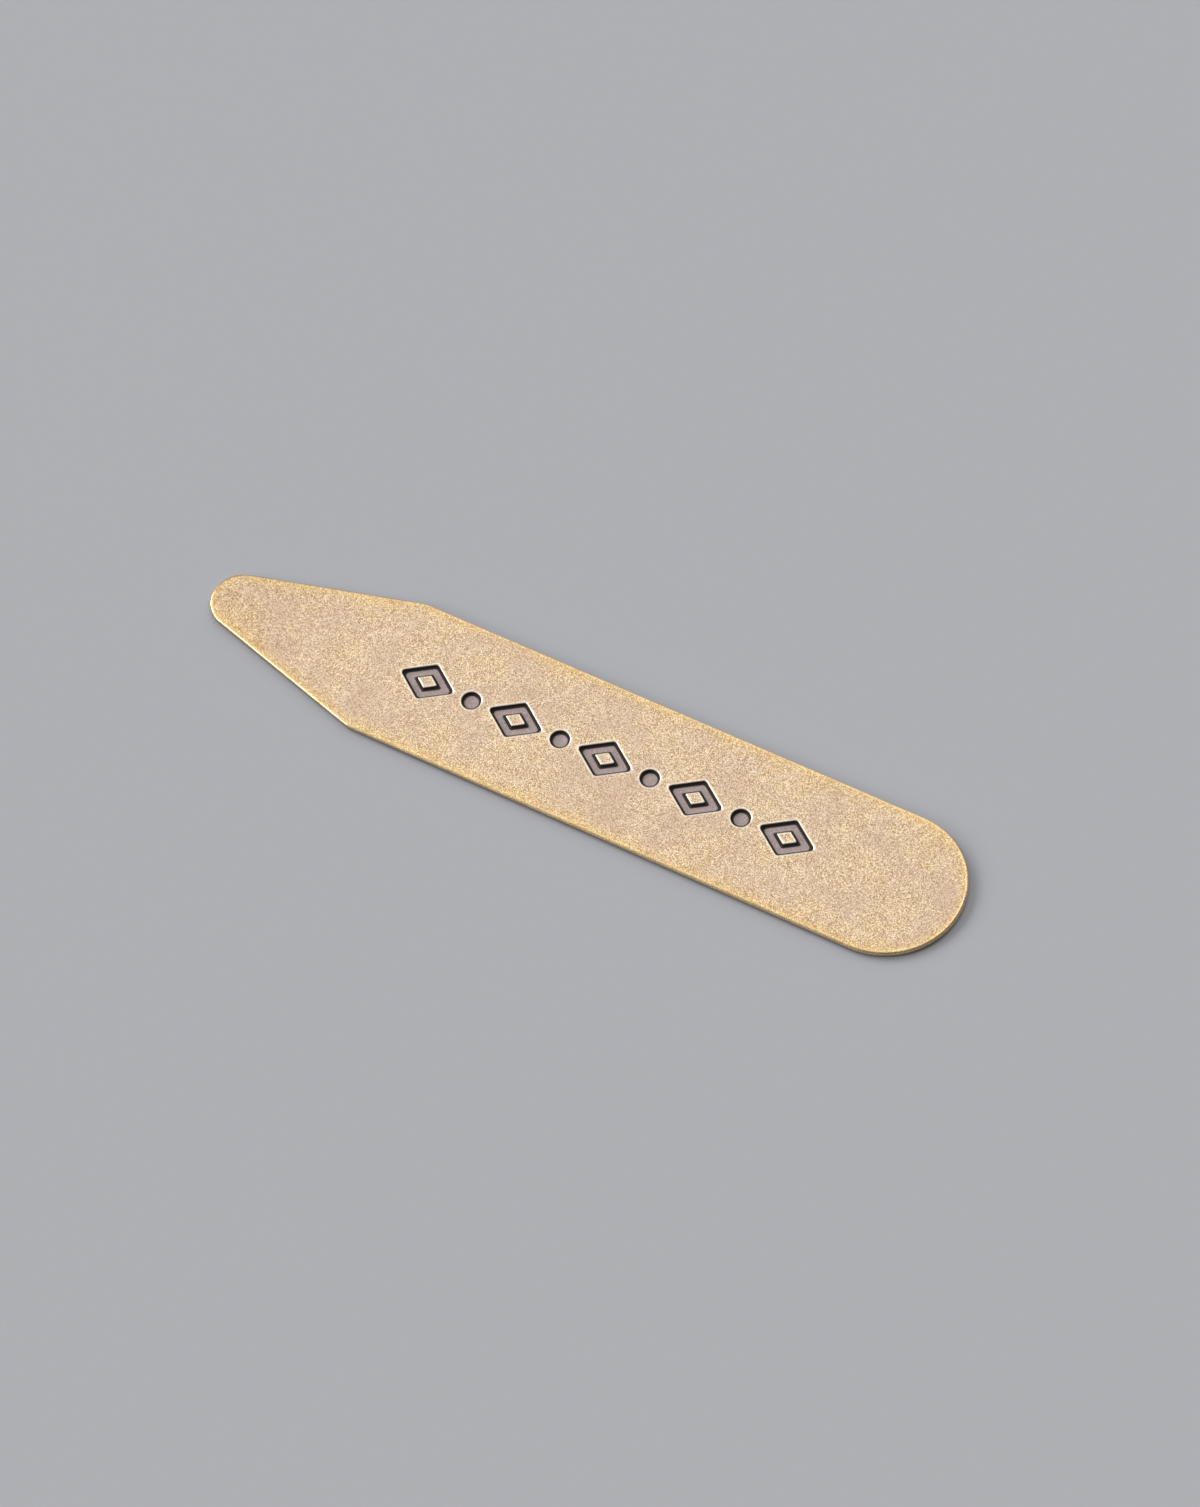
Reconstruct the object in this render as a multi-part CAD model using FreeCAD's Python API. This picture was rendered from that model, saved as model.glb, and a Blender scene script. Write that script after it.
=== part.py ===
import FreeCAD, Part
import math
import os

# A collar stay: one flat strip of solid brass, pointed towards one end and round at the
# other, with a row of shallow stamped ornament on its upper face.
# Millimetres. The tip points to -X, the stamped face is up, and the origin is the middle
# of the underside.

# Driving dimensions of the strip
LENGTH = 63.5
WIDTH = 12.0
THICKNESS = 0.6
TAPER_LENGTH = 15.3
TIP_RADIUS = 2.4
SHOULDER_RADIUS = 3.5
RIM_RADIUS = 0.2

# Driving dimensions of the stamped row
ROW_LENGTH = 35.2
ROW_MIDDLE_X = 2.35
LOZENGE_COUNT = 5
LOZENGE_LENGTH = 4.7
LOZENGE_HEIGHT = 3.3
LOZENGE_STROKE = 0.85
LOZENGE_CORNER_RADIUS = 0.28
ISLAND_CORNER_RADIUS = 0.12
DOT_DIAMETER = 1.5
STAMP_DEPTH = 0.28
STAMP_DRAFT = math.radians(12)

# How far the stamping tools stand clear above the face
TOOL_CLEARANCE = 0.1

HALF_LENGTH = LENGTH / 2
HALF_WIDTH = WIDTH / 2
LOZENGE_PITCH = (ROW_LENGTH - LOZENGE_LENGTH) / (LOZENGE_COUNT - 1)


def at(x, y, z=0):
    return FreeCAD.Vector(x, y, z)


def line(start, end):
    return Part.LineSegment(start, end).toShape()


def arc(start, middle, end):
    return Part.Arc(start, middle, end).toShape()


def strip_outline():
    """The strip's edge seen from above: straight runs joined by tangent arcs."""
    tip_centre_x = TIP_RADIUS - HALF_LENGTH
    corner_x = TAPER_LENGTH - HALF_LENGTH
    run = corner_x - tip_centre_x
    slope = math.atan2(HALF_WIDTH, run) - math.asin(TIP_RADIUS / math.hypot(run, HALF_WIDTH))
    setback = SHOULDER_RADIUS * math.tan(slope / 2)
    end_centre_x = HALF_LENGTH - HALF_WIDTH

    taper_start = (tip_centre_x - TIP_RADIUS * math.sin(slope), TIP_RADIUS * math.cos(slope))
    taper_end = (corner_x - setback * math.cos(slope), HALF_WIDTH - setback * math.sin(slope))
    shoulder_middle = (
        corner_x + setback - SHOULDER_RADIUS * math.sin(slope / 2),
        HALF_WIDTH - SHOULDER_RADIUS * (1 - math.cos(slope / 2)),
    )
    shoulder_end = (corner_x + setback, HALF_WIDTH)
    side_end = (end_centre_x, HALF_WIDTH)

    def far(point):
        return at(point[0], point[1])

    def near(point):
        return at(point[0], -point[1])

    return Part.Wire([
        arc(near(taper_start), at(-HALF_LENGTH, 0), far(taper_start)),
        line(far(taper_start), far(taper_end)),
        arc(far(taper_end), far(shoulder_middle), far(shoulder_end)),
        line(far(shoulder_end), far(side_end)),
        arc(far(side_end), at(HALF_LENGTH, 0), near(side_end)),
        line(near(side_end), near(shoulder_end)),
        arc(near(shoulder_end), near(shoulder_middle), near(taper_end)),
        line(near(taper_end), near(taper_start)),
    ])


def blank():
    """The plain strip, with both rims rounded by tumbling."""
    plate = Part.Face(strip_outline()).extrude(at(0, 0, THICKNESS))
    rims = [edge for edge in plate.Edges if edge.BoundBox.ZLength < RIM_RADIUS]
    return plate.makeFillet(RIM_RADIUS, rims)


def lozenge_outline(centre_x, inset, corner_radius, z):
    """A lozenge with rounded corners, its sides moved inwards by the inset."""
    half_length = LOZENGE_LENGTH / 2
    half_height = LOZENGE_HEIGHT / 2
    side_distance = half_length * half_height / math.hypot(half_length, half_height)
    scale = (side_distance - inset) / side_distance
    corners = [
        at(centre_x + half_length * scale, 0, z),
        at(centre_x, half_height * scale, z),
        at(centre_x - half_length * scale, 0, z),
        at(centre_x, -half_height * scale, z),
    ]
    edges = []
    bends = []
    for index, corner in enumerate(corners):
        to_last = (corners[index - 1] - corner).normalize()
        to_next = (corners[(index + 1) % len(corners)] - corner).normalize()
        half_angle = to_last.getAngle(to_next) / 2
        inwards = (to_last + to_next).normalize()
        setback = corner_radius / math.tan(half_angle)
        depth = corner_radius / math.sin(half_angle) - corner_radius
        bends.append((corner + to_last * setback, corner + inwards * depth, corner + to_next * setback))
    for index, bend in enumerate(bends):
        edges.append(arc(*bend))
        edges.append(line(bend[2], bends[(index + 1) % len(bends)][0]))
    return Part.Wire(edges)


def drafted_lozenge(centre_x, inset, corner_radius, draft):
    """A lozenge block from the stamp's floor to above the face, its sides leaning by the draft."""
    floor_z = THICKNESS - STAMP_DEPTH
    height = STAMP_DEPTH + TOOL_CLEARANCE
    spread = height * math.tan(draft)
    floor = lozenge_outline(centre_x, inset, corner_radius, floor_z)
    top = lozenge_outline(centre_x, inset - spread, corner_radius + spread, floor_z + height)
    return Part.makeLoft([floor, top], True, True)


def lozenge_stamp(centre_x):
    """The sunk band of one open lozenge, round an island left at the face's height."""
    sunk = drafted_lozenge(centre_x, 0, LOZENGE_CORNER_RADIUS, STAMP_DRAFT)
    island = drafted_lozenge(centre_x, LOZENGE_STROKE, ISLAND_CORNER_RADIUS, -STAMP_DRAFT)
    return sunk.cut(island)


def dot_stamp(centre_x):
    """One sunk round dot between two lozenges."""
    height = STAMP_DEPTH + TOOL_CLEARANCE
    floor_radius = DOT_DIAMETER / 2
    top_radius = floor_radius + height * math.tan(STAMP_DRAFT)
    return Part.makeCone(floor_radius, top_radius, height, at(centre_x, 0, THICKNESS - STAMP_DEPTH))


def stamps():
    """Every sunk mark of the row, in order from the tip."""
    first_x = ROW_MIDDLE_X - LOZENGE_PITCH * (LOZENGE_COUNT - 1) / 2
    marks = []
    for index in range(LOZENGE_COUNT):
        marks.append(lozenge_stamp(first_x + index * LOZENGE_PITCH))
        if index < LOZENGE_COUNT - 1:
            marks.append(dot_stamp(first_x + (index + 0.5) * LOZENGE_PITCH))
    return marks


os.makedirs("parts", exist_ok=True)
stay = blank().cut(stamps())
solid = stay.Solids[0]
solid.exportStep("parts/stay_blade.step")
box = solid.optimalBoundingBox()
print("solids", len(stay.Solids), "valid", solid.isValid(), "volume mm3", round(solid.Volume, 2))
print("box mm", round(box.XLength, 3), round(box.YLength, 3), round(box.ZLength, 3))
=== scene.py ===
import math

import bmesh
import bpy
from mathutils import Matrix, Vector


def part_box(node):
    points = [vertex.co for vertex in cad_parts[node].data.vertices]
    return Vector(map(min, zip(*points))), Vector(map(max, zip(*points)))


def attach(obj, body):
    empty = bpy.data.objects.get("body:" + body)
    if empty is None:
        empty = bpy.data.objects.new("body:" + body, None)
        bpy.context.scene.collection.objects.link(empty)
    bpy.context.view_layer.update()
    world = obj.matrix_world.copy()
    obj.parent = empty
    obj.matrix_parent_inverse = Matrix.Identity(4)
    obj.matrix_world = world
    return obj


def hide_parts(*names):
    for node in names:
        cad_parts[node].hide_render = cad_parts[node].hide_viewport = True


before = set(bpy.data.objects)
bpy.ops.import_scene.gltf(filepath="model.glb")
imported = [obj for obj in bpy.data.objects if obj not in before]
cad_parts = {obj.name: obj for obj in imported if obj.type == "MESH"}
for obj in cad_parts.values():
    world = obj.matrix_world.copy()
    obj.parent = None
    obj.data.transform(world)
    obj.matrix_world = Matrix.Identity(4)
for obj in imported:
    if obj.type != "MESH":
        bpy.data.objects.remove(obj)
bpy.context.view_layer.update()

# The blank
# A strip of solid brass sheet, punched to its outline: a narrow round tip, two straight tapers,
# soft shoulders, parallel sides and a round end. Tumbling in a barrel has rounded both rims.

MM = 0.001
TAPER_LENGTH = 15.3 * MM
TIP_RADIUS = 2.4 * MM
SHOULDER_RADIUS = 3.5 * MM
RIM_RADIUS = 0.20 * MM
RIM_STEPS = 8
TIP_STEPS = 24
SHOULDER_STEPS = 8
END_STEPS = 56
WORN_BANDS = (
    # width, how worn at its inner side
    (0.08 * MM, 0.70),
    (0.18 * MM, 0.42),
    (0.32 * MM, 0.18),
    (0.60 * MM, 0.00),
)
SAME_POINT = 0.0001 * MM
LEVEL_FACING = 0.999

low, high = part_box("stay_blade")
half_width = (high.y - low.y) / 2
tip_centre_x = low.x + TIP_RADIUS
shoulder_x = low.x + TAPER_LENGTH
end_centre_x = high.x - half_width
taper_run = shoulder_x - tip_centre_x
taper_slope = (
    math.atan2(half_width, taper_run)
    - math.asin(TIP_RADIUS / math.hypot(taper_run, half_width))
)
shoulder_setback = SHOULDER_RADIUS * math.tan(taper_slope / 2)


def swing(strip, corner, centre_x, centre_y, turn, steps):
    """Carries a corner clockwise round an upright axis, leaving an arc behind it."""
    swung = bmesh.ops.spin(
        strip, geom=[corner], cent=(centre_x, centre_y, low.z), axis=(0, 0, 1),
        angle=-turn, steps=steps, use_merge=False,
    )
    return next(item for item in swung["geom_last"] if isinstance(item, bmesh.types.BMVert))


def draw_to(strip, corner, x, y):
    """Carries a corner straight to a place, leaving an edge behind it."""
    drawn = bmesh.ops.extrude_vert_indiv(strip, verts=[corner])["verts"][0]
    bmesh.ops.translate(strip, vec=Vector((x, y, low.z)) - drawn.co, verts=[drawn])
    return drawn


def broad_face(strip, side):
    """The largest face that looks up (side 1) or down (side -1)."""
    facing = [face for face in strip.faces if face.normal.z * side > LEVEL_FACING]
    return max(facing, key=lambda face: face.calc_area())


def set_down(shape, name):
    """Turns a finished shape into an object of the scene."""
    mesh = bpy.data.meshes.new(name)
    shape.to_mesh(mesh)
    shape.free()
    made = bpy.data.objects.new(name, mesh)
    bpy.context.scene.collection.objects.link(made)
    return made


strip = bmesh.new()
wear = strip.verts.layers.float.new("wear")
shine = strip.verts.layers.float.new("shine")
# The hollows' stain, which on their walls and at the foot of the walls also carries painted shade
stain_and_shade = strip.verts.layers.float.new("stain_and_shade")

corner = bmesh.ops.create_vert(strip, co=(low.x, 0, low.z))["vert"][0]
corner = swing(strip, corner, tip_centre_x, 0, math.pi / 2 - taper_slope, TIP_STEPS)
corner = draw_to(
    strip, corner,
    shoulder_x - shoulder_setback * math.cos(taper_slope),
    half_width - shoulder_setback * math.sin(taper_slope),
)
corner = swing(
    strip, corner, shoulder_x + shoulder_setback, half_width - SHOULDER_RADIUS,
    taper_slope, SHOULDER_STEPS,
)
corner = draw_to(strip, corner, end_centre_x, half_width)
corner = swing(strip, corner, end_centre_x, 0, math.pi / 2, END_STEPS)
bmesh.ops.mirror(strip, geom=strip.verts[:] + strip.edges[:], axis="Y", merge_dist=SAME_POINT)
bmesh.ops.remove_doubles(strip, verts=strip.verts[:], dist=SAME_POINT)
bmesh.ops.edgeloop_fill(strip, edges=strip.edges[:])
raised = bmesh.ops.extrude_face_region(strip, geom=strip.faces[:], use_keep_orig=True)["geom"]
raised_corners = [item for item in raised if isinstance(item, bmesh.types.BMVert)]
bmesh.ops.translate(strip, vec=(0, 0, high.z - low.z), verts=raised_corners)
bmesh.ops.recalc_face_normals(strip, faces=strip.faces[:])
rims = [*broad_face(strip, 1).edges, *broad_face(strip, -1).edges]
bmesh.ops.bevel(
    strip, geom=rims, offset=RIM_RADIUS, segments=RIM_STEPS, profile=0.5,
    affect="EDGES", material=-1, clamp_overlap=True,
)
for vertex in strip.verts:
    vertex[wear] = 1
    vertex[shine] = 1
for side in (1, -1):
    face = broad_face(strip, side)
    for band_width, band_wear in WORN_BANDS:
        bmesh.ops.inset_region(
            strip, faces=[face], thickness=band_width, use_even_offset=True, use_boundary=True,
        )
        for vertex in face.verts:
            vertex[wear] = band_wear
            vertex[shine] = 0

# The stamped row
# Open lozenges with round dots between them, struck cold into the face. Each blow sinks a flat
# floor between steep walls and throws up a low lip, which the tumbling then polishes and which
# carries a painted cream highlight.

ROW_LENGTH = 35.2 * MM
ROW_MIDDLE_X = 2.35 * MM
LOZENGE_COUNT = 5
LOZENGE_LENGTH = 4.7 * MM
LOZENGE_HEIGHT = 3.3 * MM
LOZENGE_CORNER_RADIUS = 0.28 * MM
LOZENGE_CORNER_STEPS = 6
DOT_RADIUS = 0.75 * MM
DOT_STEPS = 36
FACE_AREA_WEIGHT = 50

# Rows from the outside in: how far in from the mark's edge, how high over the face, how
# glossy the metal is rubbed, which on the lips also lays a painted cream highlight, and how dark
# it is stained, the stain on the walls deepened into painted shade.
OUTER_WALL = (
    # inwards, height, shine, stain and painted shade
    (-0.220 * MM, 0.000 * MM, 0.00, 0.00),
    (-0.150 * MM, 0.009 * MM, 0.40, 0.00),
    (-0.120 * MM, 0.010 * MM, 1.00, 0.00),
    (-0.030 * MM, -0.009 * MM, 1.00, 0.05),
    (0.000 * MM, -0.060 * MM, 0.40, 0.90),
    (0.020 * MM, -0.160 * MM, 0.00, 1.00),
    (0.045 * MM, -0.265 * MM, 0.00, 1.00),
    (0.150 * MM, -0.280 * MM, 0.00, 0.95),
    (0.260 * MM, -0.280 * MM, 0.00, 0.60),
)
ISLAND_EDGE = 0.85 * MM

pitch = (ROW_LENGTH - LOZENGE_LENGTH) / (LOZENGE_COUNT - 1)
first_x = ROW_MIDDLE_X - pitch * (LOZENGE_COUNT - 1) / 2


def sink(strip, loop, centre_x, reach, rows):
    """Steps a mark's outline inwards and down, row by row, and closes it with a face."""
    centre = Matrix.Translation((-centre_x, 0, 0))
    outermost = loop
    last_scale = 1
    for index, (inwards, height, shine_level, stain_and_shade_level) in enumerate(rows):
        if index:
            grown = bmesh.ops.extrude_edge_only(strip, edges=loop)["geom"]
            loop = [item for item in grown if isinstance(item, bmesh.types.BMEdge)]
        ring = list({vertex for edge in loop for vertex in edge.verts})
        scale = (reach - inwards) / reach
        step = scale / last_scale
        bmesh.ops.scale(strip, vec=(step, step, 1), space=centre, verts=ring)
        rise = high.z + height - ring[0].co.z
        bmesh.ops.translate(strip, vec=(0, 0, rise), verts=ring)
        for vertex in ring:
            vertex[shine] = shine_level
            vertex[stain_and_shade] = stain_and_shade_level
        last_scale = scale
    bmesh.ops.edgeloop_fill(strip, edges=loop)
    return outermost


def lozenge_loop(strip, centre_x):
    """The edge of a lozenge with rounded corners, lying on the face."""
    corners = [
        bmesh.ops.create_vert(strip, co=(centre_x + along, across, high.z))["vert"][0]
        for along, across in (
            (LOZENGE_LENGTH / 2, 0), (0, LOZENGE_HEIGHT / 2),
            (-LOZENGE_LENGTH / 2, 0), (0, -LOZENGE_HEIGHT / 2),
        )
    ]
    bmesh.ops.contextual_create(strip, geom=corners)
    sharpness = LOZENGE_HEIGHT / LOZENGE_LENGTH
    for pair, half_angle_tangent in ((corners[0::2], sharpness), (corners[1::2], 1 / sharpness)):
        bmesh.ops.bevel(
            strip, geom=pair, offset=LOZENGE_CORNER_RADIUS / half_angle_tangent,
            segments=LOZENGE_CORNER_STEPS, profile=0.5, affect="VERTICES", material=-1,
        )
    plate = min(
        (face for face in strip.faces if abs(face.calc_center_median().x - centre_x) < SAME_POINT),
        key=lambda face: face.calc_area(),
    )
    loop = list(plate.edges)
    bmesh.ops.delete(strip, geom=[plate], context="FACES_ONLY")
    return loop


def dot_loop(strip, centre_x):
    """The edge of a round dot, lying on the face."""
    circle = bmesh.ops.create_circle(
        strip, cap_ends=False, radius=DOT_RADIUS, segments=DOT_STEPS,
        matrix=Matrix.Translation((centre_x, 0, high.z)),
    )["verts"]
    return list({edge for vertex in circle for edge in vertex.link_edges})


half_length = LOZENGE_LENGTH / 2
lozenge_reach = half_length * (LOZENGE_HEIGHT / 2) / math.hypot(half_length, LOZENGE_HEIGHT / 2)
island_rows = tuple(
    (ISLAND_EDGE - inwards, height, shine_level, stain_and_shade_level)
    for inwards, height, shine_level, stain_and_shade_level in reversed(OUTER_WALL)
)

face = broad_face(strip, 1)
openings = list(face.edges)
bmesh.ops.delete(strip, geom=[face], context="FACES_ONLY")
for index in range(LOZENGE_COUNT):
    centre_x = first_x + index * pitch
    loop = lozenge_loop(strip, centre_x)
    openings += sink(strip, loop, centre_x, lozenge_reach, OUTER_WALL + island_rows)
    if index < LOZENGE_COUNT - 1:
        centre_x += pitch / 2
        loop = dot_loop(strip, centre_x)
        openings += sink(strip, loop, centre_x, DOT_RADIUS, OUTER_WALL)
bmesh.ops.triangle_fill(
    strip, use_beauty=True, use_dissolve=False, edges=openings, normal=(0, 0, 1),
)
bmesh.ops.recalc_face_normals(strip, faces=strip.faces[:])
for face in strip.faces:
    face.smooth = True

stay = set_down(strip, "brass_stay")
even = stay.modifiers.new("even_normals", "WEIGHTED_NORMAL")
even.mode = "FACE_AREA"
even.weight = FACE_AREA_WEIGHT
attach(stay, "root")
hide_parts("stay_blade")

# The brass finish
# Tumbled with stones until it is satin, with short hair scratches in every direction; the pale
# scratches carry painted glints. The rims are rubbed to clean gold over a wall painted darker
# brown with shade towards its foot, the lips of the marks carry a painted cream highlight, and a
# dark stain stays in the hollows, deepened on their walls into painted shade. The face over the
# tip is darkened with painted shade.


def seen(red, green, blue):
    """A colour given as a screen shows it, from 0 to 255, as the shader's linear colour."""
    def linear(level):
        level /= 255
        return level / 12.92 if level <= 0.04045 else ((level + 0.055) / 1.055) ** 2.4
    return (linear(red), linear(green), linear(blue), 1)


class Amount:
    """A number that varies over a surface. Sums written with it become Math nodes."""

    def __init__(self, finish, socket):
        self.finish = finish
        self.socket = socket

    def sum(self, operation, *values):
        sockets = dict(zip(("Value", "Value_001"), values))
        made = self.finish.node("ShaderNodeMath", {"operation": operation}, sockets)
        return Amount(self.finish, made.outputs["Value"])

    def __add__(self, other):
        return self.sum("ADD", self, other)

    def __radd__(self, other):
        return self.sum("ADD", other, self)

    def __sub__(self, other):
        return self.sum("SUBTRACT", self, other)

    def __rsub__(self, other):
        return self.sum("SUBTRACT", other, self)

    def __mul__(self, other):
        return self.sum("MULTIPLY", self, other)

    def __rmul__(self, other):
        return self.sum("MULTIPLY", other, self)

    def least(self, other):
        return self.sum("MINIMUM", self, other)

    def most(self, other):
        return self.sum("MAXIMUM", self, other)

    def ramp(self, start, end):
        """A soft step from 0 at start to 1 at end."""
        made = self.finish.node(
            "ShaderNodeMapRange", {"interpolation_type": "SMOOTHSTEP"},
            {"Value": self, "From Min": start, "From Max": end},
        )
        return Amount(self.finish, made.outputs["Result"])


HAIR_LAYERS = 100
HAIR_EDGE = (0.56, 0.70)
PATCH_CORE = 0.25
PATCH_RIM = 0.75


class Finish:
    """A material under way, with one method that adds any node."""

    def __init__(self, name):
        self.material = bpy.data.materials.new(name)
        self.material.use_nodes = True
        self.tree = self.material.node_tree
        self.shader = self.tree.nodes["Principled BSDF"]

    def node(self, kind, settings, sockets):
        made = self.tree.nodes.new(kind)
        for name, value in settings.items():
            setattr(made, name, value)
        for name, value in sockets.items():
            self.feed(made, name, value)
        return made

    def feed(self, node, name, value):
        socket = next(item for item in node.inputs if item.identifier == name)
        value = getattr(value, "socket", value)
        if isinstance(value, bpy.types.NodeSocket):
            self.tree.links.new(value, socket)
        else:
            socket.default_value = value

    def amount(self, kind, settings, sockets, output):
        return Amount(self, self.node(kind, settings, sockets).outputs[output])

    def vector(self, operation, *values, scale=1):
        sockets = dict(zip(("Vector", "Vector_001"), values))
        if operation == "SCALE":
            sockets["Scale"] = scale
        made = self.node("ShaderNodeVectorMath", {"operation": operation}, sockets)
        return made.outputs["Vector"]

    def painted(self, name):
        """A value that the mesh carries at its corners."""
        return self.amount("ShaderNodeAttribute", {"attribute_name": name}, {}, "Fac")

    def noise(self, place, scale, detail=0.0, roughness=0.0):
        sockets = {"Vector": place, "Scale": scale, "Detail": detail, "Roughness": roughness}
        return self.amount("ShaderNodeTexNoise", {"noise_dimensions": "3D"}, sockets, "Fac")

    def mix(self, factor, first, second):
        sockets = {"Factor_Float": factor, "A_Color": first, "B_Color": second}
        made = self.node("ShaderNodeMix", {"data_type": "RGBA"}, sockets)
        return next(item for item in made.outputs if item.identifier == "Result_Color")

    def strokes(self, place, patch, length, width, shift):
        """Hair scratches in small patches, each patch lying its own way and fading to its rim."""
        moved = self.vector("ADD", place, shift)
        cells = self.node(
            "ShaderNodeTexVoronoi", {"voronoi_dimensions": "2D", "feature": "F1"},
            {"Vector": moved, "Scale": 1 / patch},
        )
        chance = self.node("ShaderNodeSeparateColor", {}, {"Color": cells.outputs["Color"]})
        angle = Amount(self, chance.outputs["Red"]) * math.pi
        offset = self.vector("SUBTRACT", moved, cells.outputs["Position"])
        offset_parts = self.node("ShaderNodeSeparateXYZ", {}, {"Vector": offset})
        along_x = Amount(self, offset_parts.outputs["X"])
        along_y = Amount(self, offset_parts.outputs["Y"])
        cosine = angle.sum("COSINE", angle)
        sine = angle.sum("SINE", angle)
        along = (along_x * cosine + along_y * sine) * (1 / length)
        across = (along_y * cosine - along_x * sine) * (1 / width)
        layer = Amount(self, chance.outputs["Green"]) * HAIR_LAYERS
        lay = self.node("ShaderNodeCombineXYZ", {}, {"X": along, "Y": across, "Z": layer})
        hair = self.noise(lay.outputs["Vector"], 1.0)
        reach = along_x * along_x + along_y * along_y
        fade = 1 - reach.ramp((PATCH_CORE * patch) ** 2, (PATCH_RIM * patch) ** 2)
        return hair.ramp(*HAIR_EDGE) * fade


TAN_DARK = seen(177, 141, 102)
TAN_LIGHT = seen(255, 240, 214)
GREY_TAN = seen(208, 178, 158)
GOLD_DARK = seen(200, 157, 98)
GOLD_LIGHT = seen(255, 232, 178)
# Painted shade: a dark brown laid on the outer wall, strongest at its foot by the table
WALL_SHADE_BROWN = seen(96, 66, 44)
# Painted highlight: a cream laid on the lips of the marks
LIP_HIGHLIGHT_CREAM = seen(255, 246, 226)
FLOOR_DARK = seen(146, 129, 124)
FLOOR_LIGHT = seen(196, 178, 175)
# Dark stain of the hollows, which on their walls is painted shade as well as patina
WALL_STAIN_AND_SHADE = seen(40, 33, 31)

# Patterns, in repeats to the millimetre
GRAIN_SCALE = 19.0
FLECK_SCALE = 8.0
MOTTLE_SCALE = 1.6
CLOUD_SCALE = 0.28
NOISE_MIDDLE = 0.5

# Hair scratches, in millimetres
FIRST_SCRATCHES = {"patch": 1.30, "length": 1.10, "width": 0.075, "shift": (0.0, 0.0, 0.0)}
SECOND_SCRATCHES = {"patch": 1.70, "length": 1.40, "width": 0.080, "shift": (3.7, 1.9, 0.0)}
DARK_SCRATCHES = {"patch": 1.50, "length": 0.90, "width": 0.075, "shift": (8.3, 5.1, 0.0)}

# How far each pattern carries the tone from its dark to its light colour
TONE_MIDDLE = 0.43
GRAIN_SWING = 5.2
MOTTLE_SWING = 0.4
# Painted shade: how much darker the face is painted over the tip, against the highlight there
TIP_DARKENING = 0.20
DARKENED_TIP_SPAN = (-31.0, -17.0)
# Painted highlight: how far the pale hair scratches lift the tone as painted glints
BRIGHT_LIFT = 0.45
DARK_DROP = 0.25

# How much of each other colour shows, and where it starts and is full
GREY_MOTTLE = 0.4
GREY_START = 0.2
GREY_EDGE = (0.42, 0.72)
GREY_CLOUDS = 0.35
FLECK_EDGE = (0.45, 0.75)
GREY_FLECKS = 0.30
GOLD_EVERYWHERE = 0.08
GOLD_MOTTLE = 0.6
GOLD_CLOUDS = 0.9
# How much painted cream highlight the lips of the marks carry
LIP_HIGHLIGHT_SHARE = 0.5
# Where the outer wall carries painted shade, by its wear and by its height
SHADED_WALL_WEAR_EDGE = (0.85, 1.0)
SHADED_WALL_HEIGHT_EDGE = (0.02, 0.54)
FLOOR_EDGE = (0.0, 0.5)
# Where the hollows' stain turns into the painted shade of their walls
STAIN_AND_SHADE_EDGE = (0.62, 0.95)

# How the metal answers to light
FACE_METAL = 0.75
WORN_METAL = 0.25
STAINED_METAL = 0.5
STAINED_METAL_EDGE = (0.1, 0.6)
FACE_ROUGHNESS = 0.70
SHINE_SMOOTHING = 0.30
STAIN_ROUGHENING = 0.05
COAT_ROUGHNESS = 0.12
COAT_INDEX = 1.6
RELIEF_SHARE = 0.5
RELIEF_STRENGTH = 0.5
RELIEF_HEIGHT = 0.006 * MM

brass = Finish("tumbled_brass")
object_place = brass.node("ShaderNodeTexCoord", {}, {}).outputs["Object"]
place = brass.vector("SCALE", object_place, scale=1 / MM)
place_parts = brass.node("ShaderNodeSeparateXYZ", {}, {"Vector": place})
along = Amount(brass, place_parts.outputs["X"])
height = Amount(brass, place_parts.outputs["Z"])
worn = brass.painted("wear")
shining = brass.painted("shine")
stain_and_shade_level = brass.painted("stain_and_shade")

grain = brass.noise(place, GRAIN_SCALE)
# Pale hair scratches: real marks in the relief, with their glints painted into the colour
bright = brass.strokes(place, **FIRST_SCRATCHES).most(brass.strokes(place, **SECOND_SCRATCHES))
dark = brass.strokes(place, **DARK_SCRATCHES)
mottle = brass.noise(place, MOTTLE_SCALE, detail=3.0, roughness=0.6)
clouds = brass.noise(place, CLOUD_SCALE, detail=2.0, roughness=0.5)

# Painted shade: the face is darkened towards the tip
tip_shade_share = 1 - along.ramp(*DARKENED_TIP_SPAN)
speckle = (
    TONE_MIDDLE
    + (grain - NOISE_MIDDLE) * GRAIN_SWING
    + (mottle - NOISE_MIDDLE) * MOTTLE_SWING
    - tip_shade_share * TIP_DARKENING
)
tone = (speckle + bright * BRIGHT_LIFT - dark * DARK_DROP).least(1).most(0)
face_colour = brass.mix(tone, TAN_DARK, TAN_LIGHT)
pink_fleck = brass.noise(place, FLECK_SCALE).ramp(*FLECK_EDGE)
grey_cloud = (clouds + mottle * GREY_MOTTLE - GREY_START).ramp(*GREY_EDGE)
grey_share = grey_cloud * GREY_CLOUDS + pink_fleck * GREY_FLECKS
face_colour = brass.mix(grey_share, face_colour, GREY_TAN)
gold = brass.mix(tone, GOLD_DARK, GOLD_LIGHT)
gold_share = (
    worn
    + (mottle - NOISE_MIDDLE) * GOLD_MOTTLE
    - (clouds - NOISE_MIDDLE) * GOLD_CLOUDS
    + GOLD_EVERYWHERE
)
face_colour = brass.mix(gold_share.least(1).most(0), face_colour, gold)
# Painted highlight: the lips of the marks are lightened to cream
face_colour = brass.mix(shining * (1 - worn) * LIP_HIGHLIGHT_SHARE, face_colour, LIP_HIGHLIGHT_CREAM)
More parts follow.
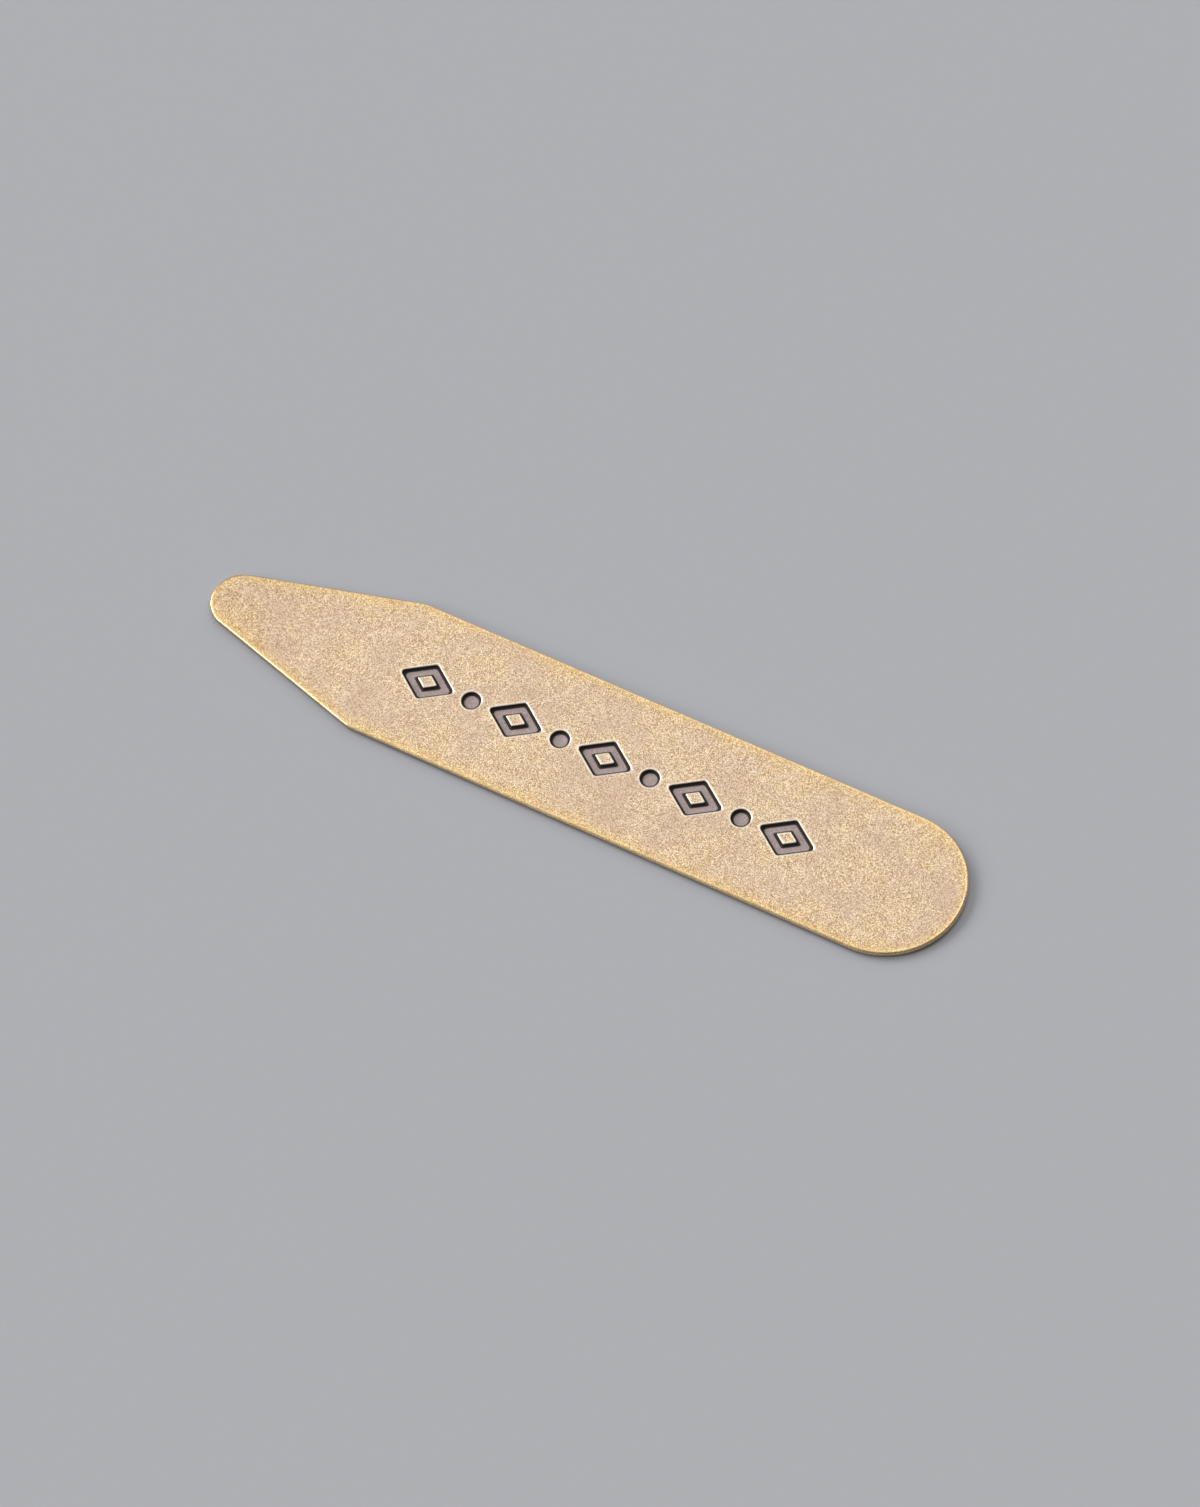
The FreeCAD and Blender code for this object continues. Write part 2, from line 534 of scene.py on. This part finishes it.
# Painted shade: the outer wall darkens to brown towards its foot
wall_shade_share = worn.ramp(*SHADED_WALL_WEAR_EDGE) * (1 - height.ramp(*SHADED_WALL_HEIGHT_EDGE))
face_colour = brass.mix(wall_shade_share, face_colour, WALL_SHADE_BROWN)
floor_colour = brass.mix(tone, FLOOR_DARK, FLOOR_LIGHT)
# The hollows' floor colour, turning near the walls to a dark stain with painted shade
hollow = brass.mix(stain_and_shade_level.ramp(*STAIN_AND_SHADE_EDGE), floor_colour, WALL_STAIN_AND_SHADE)
colour = brass.mix(stain_and_shade_level.ramp(*FLOOR_EDGE), face_colour, hollow)

relief = grain * RELIEF_SHARE + bright * RELIEF_SHARE - dark * RELIEF_SHARE
bump = brass.node(
    "ShaderNodeBump", {},
    {"Strength": RELIEF_STRENGTH, "Distance": RELIEF_HEIGHT, "Height": relief},
)
less_metal = stain_and_shade_level.ramp(*STAINED_METAL_EDGE) * STAINED_METAL
metal = FACE_METAL + worn * WORN_METAL - less_metal
roughness = FACE_ROUGHNESS - shining * SHINE_SMOOTHING + stain_and_shade_level * STAIN_ROUGHENING
brass.feed(brass.shader, "Base Color", colour)
brass.feed(brass.shader, "Metallic", metal)
brass.feed(brass.shader, "Roughness", roughness)
brass.feed(brass.shader, "Coat Weight", shining * (1 - stain_and_shade_level))
brass.feed(brass.shader, "Coat Roughness", COAT_ROUGHNESS)
brass.feed(brass.shader, "Coat IOR", COAT_INDEX)
brass.feed(brass.shader, "Normal", bump.outputs["Normal"])
stay.data.materials.append(brass.material)

# The table
# A plain pale grey sheet of card, wide enough to fill the view from every side.

TABLE_SIZE = 1.6
TABLE_GREY = seen(174, 175, 180)
CARD_ROUGHNESS = 0.9
CARD_GLOSS = 0.1

sheet = bmesh.new()
bmesh.ops.create_grid(sheet, x_segments=1, y_segments=1, size=TABLE_SIZE / 2)
table = set_down(sheet, "table")
card = Finish("grey_card")
card.feed(card.shader, "Base Color", TABLE_GREY)
card.feed(card.shader, "Roughness", CARD_ROUGHNESS)
card.feed(card.shader, "Specular IOR Level", CARD_GLOSS)
table.data.materials.append(card.material)

# The light
# A pale room with four soft boxes: one overhead, one behind the stay, one beyond its tip, and a
# low one at the front left that draws a thin bright line along the rims. All stand far off, so
# they are suns.

ROOM_STRENGTH = 0.13
SOFT_BOXES = (
    # name, turn, height, spread, strength
    ("top_box", 0, 90, 60, 0.75),
    ("back_box", 180, 40, 60, 0.95),
    ("side_box", 266, 31, 32, 1.70),
    ("low_box", 312, 23, 26, 1.25),
)

room = bpy.data.worlds.new("pale_room")
room.use_nodes = True
room.node_tree.nodes["Background"].inputs["Color"].default_value = (1, 1, 1, 1)
room.node_tree.nodes["Background"].inputs["Strength"].default_value = ROOM_STRENGTH
bpy.context.scene.world = room


def direction(turn, height):
    """The way from the object to a place at that turn round it and height over the table."""
    return Vector((
        math.sin(turn) * math.cos(height),
        -math.cos(turn) * math.cos(height),
        math.sin(height),
    ))


for name, turn, height, spread, strength in SOFT_BOXES:
    box_data = bpy.data.lights.new(name, "SUN")
    box_data.energy = strength
    box_data.angle = math.radians(spread)
    box = bpy.data.objects.new(name, box_data)
    box.location = direction(math.radians(turn), math.radians(height))
    box.rotation_euler = (-box.location).to_track_quat("-Z", "Y").to_euler()
    bpy.context.scene.collection.objects.link(box)

# The camera
# Set where the photograph was taken from, by matching the outline's edges.

CAMERA_TURN = math.radians(37.0)
CAMERA_HEIGHT = math.radians(58.9)
CAMERA_ROLL = math.radians(-9.34)
CAMERA_DISTANCE = 370.9 * MM
CAMERA_TARGET = Vector((1.61, 0.51, 0)) * MM
PICTURE_LONG_SIDE = 1507
FOCAL_PIXELS = 5000
NEAREST_SEEN = 0.01

camera_data = bpy.data.cameras.new("camera")
camera_data.lens = FOCAL_PIXELS / PICTURE_LONG_SIDE * camera_data.sensor_width
camera_data.clip_start = NEAREST_SEEN
camera = bpy.data.objects.new("camera", camera_data)
outwards = direction(CAMERA_TURN, CAMERA_HEIGHT)
level = (-outwards).to_track_quat("-Z", "Y").to_matrix().to_4x4()
camera.matrix_world = (
    Matrix.Translation(CAMERA_TARGET + outwards * CAMERA_DISTANCE)
    @ level
    @ Matrix.Rotation(CAMERA_ROLL, 4, "Z")
)
bpy.context.scene.collection.objects.link(camera)
bpy.context.scene.camera = camera
bpy.context.scene.view_settings.view_transform = "Standard"
